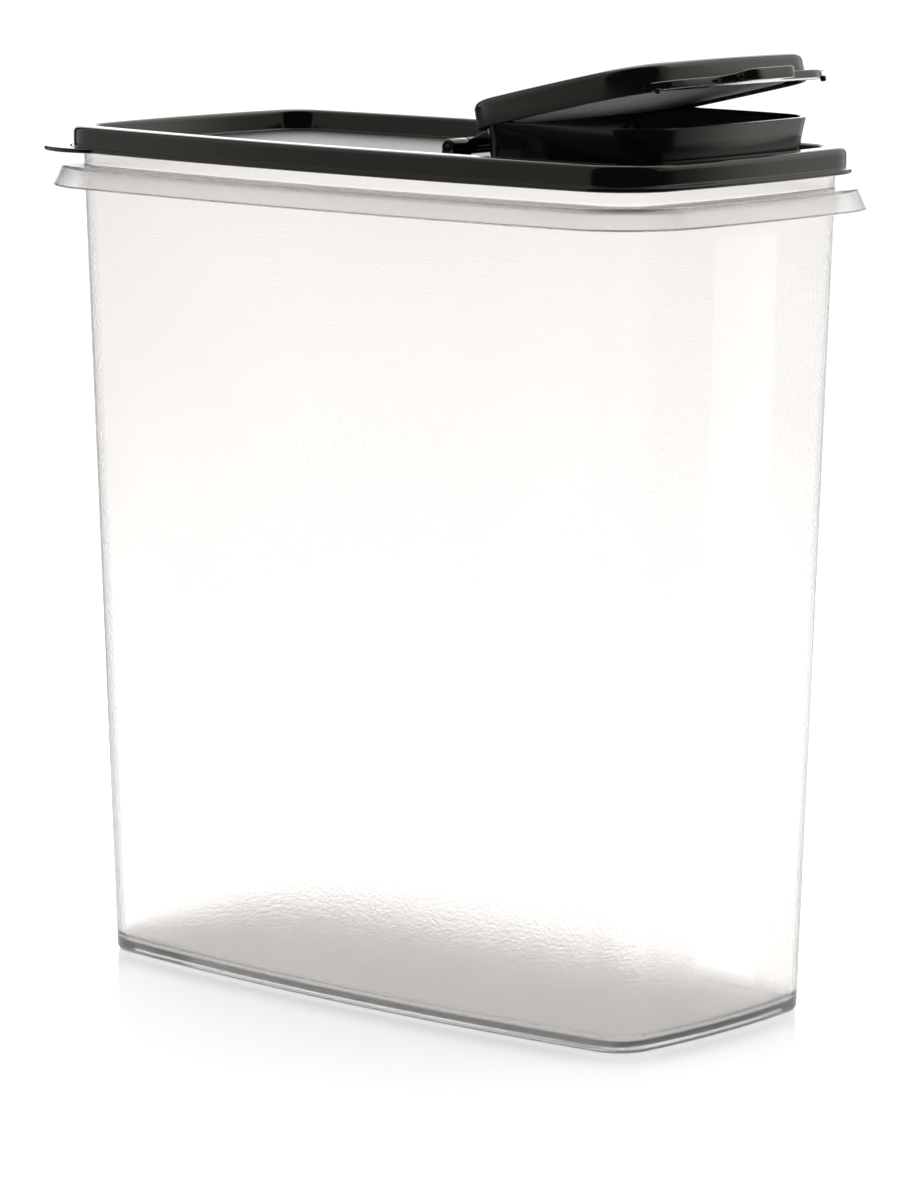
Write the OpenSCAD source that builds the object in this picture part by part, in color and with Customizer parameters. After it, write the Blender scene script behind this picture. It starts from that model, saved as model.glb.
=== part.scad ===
// Dry-goods keeper with a pour spout: a clear bowed box, a press-on lid that carries the
// spout, and a flip cap hinged on a pin across the lid. The origin is the middle of the
// base on the surface it stands on, +Z is up and the cap pours towards +X.

/* [Container] */
// Length over the base, along X
base_length = 222.4; // [190:0.1:260]
// Depth over the base, along Y
base_depth = 100.4; // [85:0.1:130]
// Length over the walls just under the lid
neck_length = 233.8; // [200:0.1:270]
// Depth over the walls just under the lid
neck_depth = 115.6; // [95:0.1:140]
// Height of the container without its lid
container_height = 260.6; // [180:0.1:330]
// Thickness of the container's walls
wall = 2; // [1.4:0.1:3]
// Thickness of the container's floor
floor_thickness = 3; // [2:0.1:5]
// Corner radius of the walls at the base
base_corner_r = 10; // [8:0.1:18]
// Corner radius of the walls under the lid
neck_corner_r = 11.7; // [9:0.1:20]
// How far the middle of a long wall bulges past its ends
long_bow = 6.5; // [2:0.1:9]
// How far the middle of a short wall bulges past its ends
short_bow = 3.4; // [1:0.1:6]

/* [Lifting rim] */
// Distance from the ledge's top face down from the container's top edge
ledge_drop = 9.8; // [8.5:0.1:14]
// Width of the flat ledge around the neck
ledge_width = 8; // [5:0.1:12]
// How far the hanging skirt flares out past the ledge
skirt_flare = 3.3; // [1:0.1:6]
// Height of the skirt, from its lower edge to the ledge's top face
skirt_height = 6.5; // [4:0.1:12]
// Thickness of the ledge and the skirt
rim_thickness = 1.5; // [1:0.1:2.5]
// Extra corner radius of the ledge and the skirt
skirt_extra_r = 1.6; // [0:0.1:4]
// How far the snap bead at the top of the neck stands out
snap_bead = 1.2; // [0.6:0.1:1.5]

/* [Lid] */
// Thickness of the lid's skin
lid_wall = 1.5; // [1.2:0.1:2.2]
// Gap between the neck's faces and the lid's channel
lid_clearance = 0.5; // [0.3:0.05:0.8]
// Height of the lid's top bead over the container's top edge
bead_rise = 2.2; // [2:0.1:4]
// Depth from the top bead to the recessed panel
panel_recess = 6.3; // [4:0.1:7.5]
// How far the channel's outer wall reaches below the container's top edge
lid_grip = 5.6; // [4.5:0.1:7]
// Width of the thin flange at the foot of the lid's outer wall
lid_flange = 1.6; // [0.6:0.1:3]
// Thickness of the flange and of the lift tab
flange_t = 1.4; // [1:0.1:2]
// Radius of the round lift tab at one corner
lift_tab_r = 21.3; // [18:0.1:24]
// Distance from the end of the neck in to the lift tab's centre, along X
lift_tab_in_x = 9.9; // [8:0.1:14]
// Distance from the side of the neck in to the lift tab's centre, along Y
lift_tab_in_y = 18.3; // [16:0.1:24]

/* [Spout] */
// Length of the spout over its rim
spout_length = 72; // [55:0.1:85]
// Depth of the spout over its rim
spout_depth = 86; // [60:0.1:92]
// Distance from the origin to the middle of the spout, along X
spout_x = 77.3; // [70:0.1:82]
// Height of the spout over the panel
spout_height = 15.6; // [13:0.1:24]
// Height of the flared band at the top of the spout
spout_band = 7.6; // [5:0.1:9]
// How far the rim flares out past the waist below it
spout_flare = 1.5; // [0.6:0.1:2]
// Thickness of the spout's wall
spout_wall = 1.6; // [1.2:0.1:2.2]
// Corner radius of the spout's rim
spout_corner_r = 11.3; // [9:0.1:16]
// How far the spout's long walls bulge
spout_long_bow = 2.3; // [0.5:0.1:4]
// How far the spout's short walls bulge
spout_short_bow = 3; // [0.5:0.1:4]

/* [Flip cap] */
// Angle at which the cap stands open in this model
cap_open = 12.3; // [8:0.1:60]
// Thickness of the cap's skin
cap_wall = 1; // [0.8:0.1:2]
// Gap between the spout's rim and the cap's skirt
cap_clearance = 0.35; // [0.3:0.05:0.8]
// Extra room at the pour end, which lets the skirt swing clear of the rim
swing_room = 0.45; // [0.4:0.05:1.5]
// Height of the cap's skirt
cap_height = 8.5; // [8:0.1:12]
// Gap between the cap's channel and the top of the spout's rim when closed
cap_seat_gap = 0.3; // [0.3:0.05:0.6]
// Height of the plug's underside over the skirt's lower edge
plug_lift = 0.8; // [0.3:0.1:3]
// Extra room between plug and spout at the hinge end
plug_swing_room = 1.8; // [1.6:0.1:4]
// Width of the flange around the pour end of the skirt
cap_flange = 5; // [2:0.1:7]
// Thickness of the flange and the thumb tab
cap_flange_t = 2.4; // [1.6:0.1:3]
// How far the flange's two ends lie back from the pour end of the skirt
flange_back = 1.5; // [0.5:0.1:6]
// Reach of the thumb tab past the flange
thumb_reach = 9; // [5:0.1:14]
// Width of the thumb tab
thumb_width = 22; // [14:0.5:34]

/* [Hinge] */
// Distance from the hinge line to the spout's rim
hinge_setback = 13.3; // [11:0.1:22]
// Height of the hinge line over the panel
hinge_lift = 5.8; // [4.5:0.1:7]
// Diameter of the hinge pin
pin_d = 2.4; // [1.6:0.1:3]
// Radial gap between the pin and the cap's barrel
pin_clearance = 0.06; // [0.03:0.01:0.1]
// Outer radius of the barrels around the pin
barrel_r = 2.5; // [2.2:0.1:3.2]
// Width of the cap's barrel and arm
arm_width = 49; // [24:0.5:60]
// Thickness of the arm's cheeks and web
arm_t = 1.6; // [1.2:0.1:3]
// Height of the arm's side where it leaves the barrel
arm_root = 2.9; // [2:0.1:4]
// How far the arm's top edge rises from the barrel to the cap
arm_rise = 2.6; // [1:0.1:4]
// How far the arm's lower edge drops from the barrel to the cap
arm_drop = 1; // [0:0.1:1.6]
// Width of each lid knuckle
knuckle_w = 8; // [5:0.1:12]
// Gap between a knuckle and the cap's barrel
knuckle_gap = 0.4; // [0.3:0.05:0.8]

/* [Hidden] */
// Steps of one corner arc, one long side and one short side of every outline
corner_steps = 8;
long_steps = 10;
short_steps = 6;
// Small radius at moulded edges
edge_r = 1.2;
// Length of overlap where one part of a piece runs into another
bite = 0.5;

ledge_z = container_height - ledge_drop;
bead_z = container_height + bead_rise;
panel_z = bead_z - panel_recess;
lid_foot_z = container_height - lid_grip;
spout_rim_z = panel_z + spout_height;
waist_z = spout_rim_z - spout_band;
// The lid's channel: offsets of its faces from the neck's outer face
channel_out = snap_bead + lid_clearance;
channel_in = -(wall + lid_clearance);
lid_out = channel_out + lid_wall;
plug_in = channel_in - lid_wall;
// The closed cap
cap_top_z = spout_rim_z + cap_seat_gap + cap_wall;
cap_foot_z = cap_top_z - cap_height;
cap_roof_z = cap_top_z - cap_wall;
skirt_out = cap_clearance + cap_wall;
plug_out = -(spout_flare + spout_wall + cap_clearance);
plug_z = cap_foot_z + plug_lift;
hinge_x = spout_x - spout_length / 2 - hinge_setback;
hinge_z = panel_z + hinge_lift;
pin_length = arm_width + 2 * knuckle_gap + 2 * knuckle_w;

function mix(a, b, t) = a + (b - a) * t;

// Arc around one corner of a rounded rectangle with half sizes a and b
function corner(cx, cy, r, from) =
    [for (i = [0:corner_steps]) let (t = from + 90 * i / corner_steps) [cx + r * cos(t), cy + r * sin(t)]];

// Points strictly between two ends of a straight side
function side(p, q, steps) = [for (i = [1:steps - 1]) [mix(p[0], q[0], i / steps), mix(p[1], q[1], i / steps)]];

// A rounded rectangle whose four sides bulge. a and b are its half sizes at mid side.
function bowed(a, b, r, lb, sb, cx = 0) =
    let (
        a0 = a - sb,
        b0 = b - lb,
        x = a0 - r,
        y = b0 - r,
        flat = concat(
            corner(x, -y, r, -90), side([a0, -y], [a0, y], short_steps),
            corner(x, y, r, 0), side([x, b0], [-x, b0], long_steps),
            corner(-x, y, r, 90), side([-a0, y], [-a0, -y], short_steps),
            corner(-x, -y, r, 180), side([-x, -b0], [x, -b0], long_steps)
        )
    )
    [for (p = flat) [
        cx + p[0] + sign(p[0]) * sb * (1 - pow(p[1] / b0, 2)),
        p[1] + sign(p[1]) * lb * (1 - pow(p[0] / a0, 2))
    ]];

// Outline of the container's outer wall at height z, moved outwards by off
function wall_ring(z, off = 0, extra_r = 0) =
    let (t = min(z / ledge_z, 1))
    bowed(
        mix(base_length, neck_length, t) / 2 + off, mix(base_depth, neck_depth, t) / 2 + off,
        max(mix(base_corner_r, neck_corner_r, t) + off + extra_r, 1.5), long_bow, short_bow
    );

// Outline of the lid, moved outwards from the neck's outer face by off
function lid_ring(off) = wall_ring(ledge_z, off);

// Outline of the spout's rim, moved outwards by off, with more room added at each end
function spout_ring(off, pour_end = 0, hinge_end = 0) =
    bowed(
        spout_length / 2 + off + (pour_end + hinge_end) / 2, spout_depth / 2 + off,
        max(spout_corner_r + off, 2), spout_long_bow, spout_short_bow,
        spout_x + (pour_end - hinge_end) / 2
    );

// One ring of points: an outline lifted to height z
function at(z, ring) = [for (p = ring) [p[0], p[1], z]];

// A skin through a list of rings. A closed skin joins its last ring to its first, and
// an open one ends in two flat faces.
module skin(rings, closed = false) {
    n = len(rings[0]);
    m = len(rings);
    last = closed ? m - 1 : m - 2;
    quads = [for (i = [0:last], j = [0:n - 1])
        let (a = i * n + j, b = i * n + (j + 1) % n, c = ((i + 1) % m) * n + (j + 1) % n, d = ((i + 1) % m) * n + j)
        each [[a, c, b], [a, d, c]]];
    ends = closed ? [] : [[for (j = [0:n - 1]) j], [for (j = [n - 1:-1:0]) (m - 1) * n + j]];
    polyhedron(points = [for (r = rings) each r], faces = concat(quads, ends), convexity = 8);
}

module container_body() {
    foot = edge_r;
    skirt_z = ledge_z - skirt_height;
    under_ledge = ledge_z - rim_thickness;
    ledge_off = ledge_width;
    skirt_off = ledge_width + skirt_flare;
    bead_low = container_height - 3.4;
    rings = [
        at(0, wall_ring(0, -foot * 1.5)),
        at(foot * 0.25, wall_ring(0, -foot * 0.35)),
        at(foot, wall_ring(foot)),
        at(under_ledge, wall_ring(under_ledge)),
        at(under_ledge, wall_ring(ledge_z, ledge_off - rim_thickness, skirt_extra_r)),
        at(skirt_z, wall_ring(ledge_z, skirt_off - rim_thickness, skirt_extra_r)),
        at(skirt_z, wall_ring(ledge_z, skirt_off, skirt_extra_r)),
        at(ledge_z - 0.5, wall_ring(ledge_z, ledge_off + 0.25, skirt_extra_r)),
        at(ledge_z, wall_ring(ledge_z, ledge_off - 0.4, skirt_extra_r)),
        at(ledge_z, wall_ring(ledge_z)),
        at(bead_low, lid_ring(0)),
        at(bead_low + snap_bead, lid_ring(snap_bead)),
        at(container_height - 0.8, lid_ring(snap_bead)),
        at(container_height, lid_ring(0.2)),
        at(container_height, lid_ring(0.4 - wall)),
        at(container_height - 0.4, lid_ring(-wall)),
        at(ledge_z, lid_ring(-wall)),
        at(floor_thickness + 4, wall_ring(floor_thickness + 4, -wall)),
        at(floor_thickness + 1.2, wall_ring(floor_thickness, -wall - 0.8)),
        at(floor_thickness, wall_ring(floor_thickness, -wall - 3))
    ];
    color([0.88, 0.9, 0.92, 0.45]) skin(rings);
}

// Lid skin: flange, outer wall, top bead, recessed panel, spout and the channel below
module lid_shell() {
    top_r = 1.8;
    under_panel = panel_z - lid_wall;
    roof = bead_z - lid_wall;
    flare_in = -spout_wall;
    waist_in = -spout_flare - spout_wall;
    rings = [
        at(lid_foot_z, lid_ring(lid_out + lid_flange)),
        at(lid_foot_z + flange_t, lid_ring(lid_out + lid_flange)),
        at(lid_foot_z + flange_t, lid_ring(lid_out)),
        at(bead_z - top_r, lid_ring(lid_out)),
        at(bead_z - top_r * 0.3, lid_ring(lid_out - top_r * 0.3)),
        at(bead_z, lid_ring(lid_out - top_r)),
        at(bead_z, lid_ring(plug_in + top_r)),
        at(bead_z - top_r * 0.3, lid_ring(plug_in + top_r * 0.3)),
        at(bead_z - top_r, lid_ring(plug_in)),
        at(panel_z, lid_ring(plug_in)),
        at(panel_z, spout_ring(-spout_flare)),
        at(waist_z, spout_ring(-spout_flare)),
        at(waist_z + 1, spout_ring(-spout_flare * 0.75)),
        at(spout_rim_z, spout_ring(0)),
        at(spout_rim_z, spout_ring(flare_in)),
        at(waist_z, spout_ring(waist_in)),
        at(under_panel, spout_ring(waist_in)),
        at(under_panel, lid_ring(channel_in)),
        at(roof, lid_ring(channel_in)),
        at(roof, lid_ring(channel_out)),
        at(lid_foot_z, lid_ring(channel_out))
    ];
    skin(rings, closed = true);
}

// The round tab at the near corner farthest from the pour end
module lift_tab() {
    difference() {
        translate([lift_tab_in_x - neck_length / 2, lift_tab_in_y - neck_depth / 2, lid_foot_z])
            cylinder(r = lift_tab_r, h = flange_t, $fn = 96);
        translate([0, 0, lid_foot_z - 1]) linear_extrude(flange_t + 2) polygon(lid_ring(lid_out - bite));
    }
}

// One lid knuckle: a barrel on a foot, bored for the pin
module knuckle(y) {
    translate([hinge_x, y, hinge_z]) rotate([90, 0, 0]) difference() {
        union() {
            cylinder(r = barrel_r, h = knuckle_w, $fn = 48);
            translate([-barrel_r, -hinge_lift - bite, 0]) cube([2 * barrel_r, hinge_lift + bite, knuckle_w]);
        }
        translate([0, 0, -1]) cylinder(d = pin_d, h = knuckle_w + 2, $fn = 48);
    }
}

module lid() {
    color([0.06, 0.06, 0.06]) union() {
        lid_shell();
        lift_tab();
        knuckle(-arm_width / 2 - knuckle_gap);
        knuckle(arm_width / 2 + knuckle_gap + knuckle_w);
    }
}

module hinge_pin() {
    color([0.1, 0.1, 0.1]) translate([hinge_x, pin_length / 2, hinge_z]) rotate([90, 0, 0])
        cylinder(d = pin_d, h = pin_length, $fn = 48);
}

// Cap skin: skirt, top bead, recessed panel and the plug that sits inside the spout
module cap_shell() {
    top_r = 2.2;
    panel_top = plug_z + cap_wall;
    dish_in = plug_out - cap_wall;
    hs = plug_swing_room;
    rings = [
        at(panel_top, spout_ring(dish_in, 0, -hs)),
        at(cap_top_z - top_r * 0.7, spout_ring(dish_in, 0, -hs)),
        at(cap_top_z - top_r * 0.2, spout_ring(dish_in + 0.5, 0, -hs)),
        at(cap_top_z, spout_ring(dish_in + 1.6, 0, -hs)),
        at(cap_top_z, spout_ring(skirt_out - top_r, swing_room)),
        at(cap_top_z - top_r * 0.3, spout_ring(skirt_out - top_r * 0.3, swing_room)),
        at(cap_top_z - top_r, spout_ring(skirt_out, swing_room)),
        at(cap_foot_z, spout_ring(skirt_out, swing_room)),
        at(cap_foot_z, spout_ring(cap_clearance, swing_room)),
        at(cap_roof_z, spout_ring(cap_clearance, swing_room)),
        at(cap_roof_z, spout_ring(plug_out, 0, -hs)),
        at(plug_z + edge_r, spout_ring(plug_out, 0, -hs)),
        at(plug_z, spout_ring(plug_out - edge_r, 0, -hs))
    ];
    skin([for (i = [len(rings) - 1:-1:0]) rings[i]]);
}

// Square corner filled to a concave fillet of radius r, between +X and +Y
module fillet(r) {
    difference() {
        square(r);
        translate([r, r]) circle(r, $fn = 48);
    }
}

// Plan of the flange around the pour end with the thumb tab in its middle
module flange_plan() {
    tab_r = 4;
    root_r = 5;
    end_x = spout_x + spout_length / 2 + skirt_out + swing_room;
    edge_x = end_x + cap_flange;
    start_x = end_x - flange_back;
    intersection() {
        polygon(spout_ring(skirt_out + cap_flange, swing_room));
        translate([start_x, -spout_depth]) square([spout_depth, 2 * spout_depth]);
    }
    translate([end_x, -thumb_width / 2]) square([cap_flange + thumb_reach - tab_r, thumb_width]);
    translate([end_x, -thumb_width / 2 + tab_r]) square([cap_flange + thumb_reach, thumb_width - 2 * tab_r]);
    for (s = [-1, 1]) {
        translate([edge_x + thumb_reach - tab_r, s * (thumb_width / 2 - tab_r)]) circle(tab_r, $fn = 48);
        translate([edge_x - 0.4, s * thumb_width / 2]) scale([1, s]) fillet(root_r);
    }
}

module cap_flange_plate() {
    difference() {
        translate([0, 0, cap_foot_z]) linear_extrude(cap_flange_t) flange_plan();
        translate([0, 0, cap_foot_z - 1]) linear_extrude(cap_flange_t + 2)
            polygon(spout_ring(skirt_out - bite, swing_room));
    }
}

// Side view of the arm, from the hinge line at the origin to the skirt
module arm_side() {
    end_x = hinge_setback - skirt_out + bite;
    polygon([
        [0, -arm_root / 2], [end_x, -arm_root / 2 - arm_drop],
        [end_x, arm_root / 2 + arm_rise], [0, arm_root / 2]
    ]);
}

// Hinge arm: two cheeks under a sloping web, ending in the barrel around the pin
module cap_arm() {
    translate([hinge_x, arm_width / 2, hinge_z]) rotate([90, 0, 0]) difference() {
        union() {
            cylinder(r = barrel_r, h = arm_width, $fn = 48);
            difference() {
                linear_extrude(arm_width) arm_side();
                translate([0, -arm_t, arm_t]) linear_extrude(arm_width - 2 * arm_t) arm_side();
            }
        }
        translate([0, 0, -1]) cylinder(r = pin_d / 2 + pin_clearance, h = arm_width + 2, $fn = 48);
    }
}

module flip_cap() {
    color([0.06, 0.06, 0.06]) translate([hinge_x, 0, hinge_z]) rotate([0, -cap_open, 0])
        translate([-hinge_x, 0, -hinge_z]) union() {
            cap_shell();
            cap_flange_plate();
            cap_arm();
        }
}

container_body();
lid();
hinge_pin();
flip_cap();
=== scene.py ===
import math

import bpy
import numpy as np
from mathutils import Matrix, Vector


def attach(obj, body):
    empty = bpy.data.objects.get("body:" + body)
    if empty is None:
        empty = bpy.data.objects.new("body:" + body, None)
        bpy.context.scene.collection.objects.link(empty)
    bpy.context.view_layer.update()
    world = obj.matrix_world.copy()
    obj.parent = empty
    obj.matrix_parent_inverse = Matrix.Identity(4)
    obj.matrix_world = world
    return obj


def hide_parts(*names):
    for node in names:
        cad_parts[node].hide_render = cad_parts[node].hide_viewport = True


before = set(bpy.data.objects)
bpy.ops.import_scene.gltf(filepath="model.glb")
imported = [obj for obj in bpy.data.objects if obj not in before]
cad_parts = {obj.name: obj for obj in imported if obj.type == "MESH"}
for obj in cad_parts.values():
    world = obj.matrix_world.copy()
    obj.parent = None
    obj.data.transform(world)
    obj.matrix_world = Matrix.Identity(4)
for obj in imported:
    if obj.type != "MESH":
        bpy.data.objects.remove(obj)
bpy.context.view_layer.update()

# Finished pieces of the dry-goods keeper. Lengths are in millimetres, in the frame of the packed
# model, until a mesh is made.
MM = 0.001

# Sizes of the container
BASE_LENGTH, BASE_DEPTH = 222.4, 100.4
NECK_LENGTH, NECK_DEPTH = 233.8, 115.6
CONTAINER_HEIGHT, WALL, FLOOR = 260.6, 2.0, 3.0
BASE_CORNER, NECK_CORNER = 10.0, 11.7
LONG_BOW, SHORT_BOW = 6.5, 3.4
LEDGE_Z = CONTAINER_HEIGHT - 9.8
LEDGE_WIDTH, SKIRT_FLARE, SKIRT_HEIGHT, RIM_T, SKIRT_EXTRA_R = 7.2, 3.2, 6.5, 1.5, 1.6
SNAP_BEAD = 1.2

# Sizes of the lid and its spout
LID_WALL, LID_CLEARANCE, LID_FLANGE, FLANGE_T = 1.5, 0.5, 1.6, 1.4
BEAD_Z = CONTAINER_HEIGHT + 2.2
PANEL_Z = BEAD_Z - 6.3
LID_FOOT_Z = CONTAINER_HEIGHT - 5.6
CHANNEL_OUT = SNAP_BEAD + LID_CLEARANCE
CHANNEL_IN = -(WALL + LID_CLEARANCE)
LID_OUT = CHANNEL_OUT + LID_WALL
PLUG_IN = CHANNEL_IN - LID_WALL
# How far the recess's wall leans in from the bead to the panel
WALL_DRAFT = 1.0
BEAD_R, WAIST_R = 1.8, 26.0
LIFT_TAB_R, LIFT_TAB_X, LIFT_TAB_Y = 21.27, 9.9 - NECK_LENGTH / 2, 18.3 - NECK_DEPTH / 2
SPOUT_LENGTH, SPOUT_DEPTH, SPOUT_X = 72.0, 86.0, 77.3
SPOUT_RIM_Z = PANEL_Z + 15.6
WAIST_Z = SPOUT_RIM_Z - 7.2
SPOUT_FLARE, SPOUT_WALL, SPOUT_CORNER = 1.5, 1.6, 11.3
SPOUT_LONG_BOW, SPOUT_SHORT_BOW = 2.3, 3.0

# Sizes of the flip cap and its hinge
CAP_OPEN = 12.3
CAP_WALL, CAP_CLEARANCE, SWING_ROOM, CAP_HEIGHT = 1.0, 0.35, 0.45, 8.5
CAP_TOP_Z = SPOUT_RIM_Z + 0.27 + CAP_WALL
CAP_FOOT_Z = CAP_TOP_Z - CAP_HEIGHT
CAP_ROOF_Z = CAP_TOP_Z - CAP_WALL
SKIRT_OUT = CAP_CLEARANCE + CAP_WALL
CAP_PLUG_OUT = -(SPOUT_FLARE + SPOUT_WALL + CAP_CLEARANCE)
CAP_PLUG_Z = CAP_FOOT_Z + 0.8
PLUG_SWING_ROOM = 1.8
CAP_FLANGE, CAP_FLANGE_T, FLANGE_BACK = 5.0, 2.4, 1.5
THUMB_REACH, THUMB_WIDTH, TIP_R, ROOT_R, LIP_GAIN = 9.0, 22.0, 4.0, 5.0, 0.42
# Where the stop pips stand under the ends of the flange
PIP_IN, PIP_Y = 2.2, 38.3
HINGE_SETBACK = 13.3
HINGE_X = SPOUT_X - SPOUT_LENGTH / 2 - HINGE_SETBACK
HINGE_Z = PANEL_Z + 5.8
PIN_R, BARREL_R, PIN_CLEARANCE = 1.2, 2.5, 0.06
ARM_WIDTH, ARM_T, ARM_ROOT, ARM_RISE, ARM_DROP = 49.0, 1.6, 2.9, 2.6, 1.0
KNUCKLE_W, KNUCKLE_GAP = 8.0, 0.4


# Outlines: a rounded rectangle whose four sides bulge. The steps are faces along each part of it.
CORNER_STEPS, LONG_STEPS, SHORT_STEPS = 16, 44, 26
SMALLEST_LID_CORNER, SMALLEST_SPOUT_CORNER = 1.5, 2.0


def outline_plan():
    """Where each outline point sits: its reach towards the corner centres, and its direction."""
    reach, turn = [], []
    for index, (sx, sy) in enumerate(((1, -1), (1, 1), (-1, 1), (-1, -1))):
        start = -90 + 90 * index
        for step in range(CORNER_STEPS + 1):
            reach.append((sx, sy))
            turn.append(start + 90 * step / CORNER_STEPS)
        steps = SHORT_STEPS if index % 2 == 0 else LONG_STEPS
        for step in range(1, steps):
            part = -1 + 2 * step / steps
            if index == 0:
                reach.append((1, part))
            elif index == 1:
                reach.append((-part, 1))
            elif index == 2:
                reach.append((-1, -part))
            else:
                reach.append((part, -1))
            turn.append(start + 90)
    turn = np.radians(turn)
    return np.array(reach, float), np.stack([np.cos(turn), np.sin(turn)], 1)


REACH, TURN = outline_plan()
COUNT = len(REACH)


def bowed(a, b, r, long_bow, short_bow, centre_x=0.0):
    """The outline with half sizes a and b at mid side, as an array of COUNT points."""
    a0, b0 = a - short_bow, b - long_bow
    x = REACH[:, 0] * (a0 - r) + r * TURN[:, 0]
    y = REACH[:, 1] * (b0 - r) + r * TURN[:, 1]
    return np.stack([
        centre_x + x + np.sign(x) * short_bow * (1 - (y / b0) ** 2),
        y + np.sign(y) * long_bow * (1 - (x / a0) ** 2),
    ], 1)


def lid_outline(off):
    """The neck's outline moved out by off."""
    corner = max(NECK_CORNER + off, SMALLEST_LID_CORNER)
    return bowed(NECK_LENGTH / 2 + off, NECK_DEPTH / 2 + off, corner, LONG_BOW, SHORT_BOW)


def spout_outline(off, pour=0.0, hinge=0.0):
    """The spout's outline moved out by off, and lengthened at its pour end and its hinge end."""
    half_length = SPOUT_LENGTH / 2 + off + (pour + hinge) / 2
    corner = max(SPOUT_CORNER + off, SMALLEST_SPOUT_CORNER)
    return bowed(half_length, SPOUT_DEPTH / 2 + off, corner, SPOUT_LONG_BOW, SPOUT_SHORT_BOW,
                 SPOUT_X + (pour - hinge) / 2)


# How far beside a fillet the ring stands that keeps the flat beside it flat when shaded
BESIDE = 0.12
# Corners straighter than this, in radians, and fillets longer than this share of a side are cut
NEARLY_STRAIGHT, MOST_OF_A_SIDE = 0.05, 0.48


def rounded(points, steps=4):
    """An open section whose corners are rounded. Each point is (off, z, radius, extras...)."""
    rows = []
    for i, point in enumerate(points):
        p = np.array([point[0], point[1], *point[3:]], float)
        r = point[2]
        if i in (0, len(points) - 1) or r <= 0:
            rows.append(p)
            continue
        before, after = points[i - 1], points[i + 1]
        q = np.array([before[0], before[1], *before[3:]], float)
        s = np.array([after[0], after[1], *after[3:]], float)
        u, v = q[:2] - p[:2], s[:2] - p[:2]
        lu, lv = np.linalg.norm(u), np.linalg.norm(v)
        u, v = u / lu, v / lv
        angle = math.acos(max(-1, min(1, float(u @ v))))
        if angle > math.pi - NEARLY_STRAIGHT:
            rows.append(p)
            continue
        cut = min(r / math.tan(angle / 2), lu * MOST_OF_A_SIDE, lv * MOST_OF_A_SIDE)
        r = cut * math.tan(angle / 2)
        centre = p[:2] + (u + v) / np.linalg.norm(u + v) * r / math.sin(angle / 2)
        a0 = p[:2] + u * cut - centre
        a1 = p[:2] + v * cut - centre
        sweep = math.atan2(a0[0] * a1[1] - a0[1] * a1[0], float(a0 @ a1))
        if lu > 2 * cut + 2 * BESIDE:
            rows.append(p + (q - p) * (cut + BESIDE) / lu)
        for k in range(steps + 1):
            t = k / steps
            c, n = math.cos(sweep * t), math.sin(sweep * t)
            row = p.copy()
            row[:2] = centre + (a0[0] * c - a0[1] * n, a0[0] * n + a0[1] * c)
            near = q if t < 0.5 else s
            row[2:] = p[2:] + (near[2:] - p[2:]) * abs(t - 0.5) * 2 * cut / (lu if t < 0.5 else lv)
            rows.append(row)
        if lv > 2 * cut + 2 * BESIDE:
            rows.append(p + (s - p) * (cut + BESIDE) / lv)
    return rows


def levels(z0, z1, count):
    """Heights that part the way from z0 to z1 evenly."""
    return [z0 + (z1 - z0) * (i + 1) / (count + 1) for i in range(count)]


# Mesh helpers
class Shell:
    """Gathers closed skins, in millimetres, into one mesh."""

    def __init__(self):
        self.points, self.faces, self.satin, self.count = [], [], [], 0

    def skin(self, rings, closed=False, satin=None):
        """A skin through rings of equal length. An open one ends in two flat faces.

        satin holds how textured each ring is, from 0, glossy, to 1.
        """
        n, m = len(rings[0]), len(rings)
        self.satin += [value for value in (satin or [0.0] * m) for _ in range(n)]
        points = np.concatenate(rings)
        faces = []
        for i in range(m if closed else m - 1):
            k = (i + 1) % m
            for j in range(n):
                l = (j + 1) % n
                faces.append((i * n + j, k * n + j, k * n + l, i * n + l))
        if not closed:
            faces.append(tuple(range(n)))
            faces.append(tuple((m - 1) * n + j for j in reversed(range(n))))
        volume = 0.0
        for face in faces:
            a = points[face[0]]
            for b, c in zip(face[1:-1], face[2:]):
                volume += float(np.dot(a, np.cross(points[b], points[c])))
        if volume < 0:
            faces = [tuple(reversed(face)) for face in faces]
        self.faces += [tuple(v + self.count for v in face) for face in faces]
        self.points.append(points)
        self.count += len(points)

    def turned(self, matrix):
        turn, shift = np.array(matrix.to_3x3()).T, np.array(matrix.translation)
        self.points = [p @ turn + shift for p in self.points]

    def build(self, name):
        mesh = bpy.data.meshes.new(name)
        mesh.from_pydata((np.concatenate(self.points) * MM).tolist(), [], self.faces)
        mesh.update()
        mesh.shade_smooth()
        if any(self.satin):
            mesh.attributes.new("satin", "FLOAT", "POINT").data.foreach_set("value", self.satin)
        obj = bpy.data.objects.new(name, mesh)
        bpy.context.scene.collection.objects.link(obj)
        return obj


def ring(outline, z):
    return np.concatenate([outline, np.full((len(outline), 1), z)], 1)


def inset(outline, amount):
    """A closed plan moved inwards by amount along its own normals."""
    ahead, behind = np.roll(outline, -1, 0), np.roll(outline, 1, 0)
    along = ahead - behind
    along /= np.linalg.norm(along, axis=1, keepdims=True)
    normal = np.stack([along[:, 1], -along[:, 0]], 1)
    area = np.sum(outline[:, 0] * ahead[:, 1] - outline[:, 1] * ahead[:, 0])
    return outline - normal * amount * np.sign(area)


# The most that two points of a plate's edge stand apart
PITCH_ALONG = 2.0


def slab(shell, outline, low, high, edge, place):
    """A plate with this plan and rounded edges. place turns (u, v, height) rows into points."""
    bend = [(1 - math.sin(t), 1 - math.cos(t)) for t in np.radians((0, 30, 60, 90))]
    rows = [(2.5 * edge, low)]
    rows += [(edge * inwards, low + edge * along) for inwards, along in bend]
    rows += [(edge * inwards, high - edge * along) for along, inwards in bend]
    rows += [(2.5 * edge, high)]
    shell.skin([place(ring(inset(outline, amount), level)) for amount, level in rows])


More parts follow.
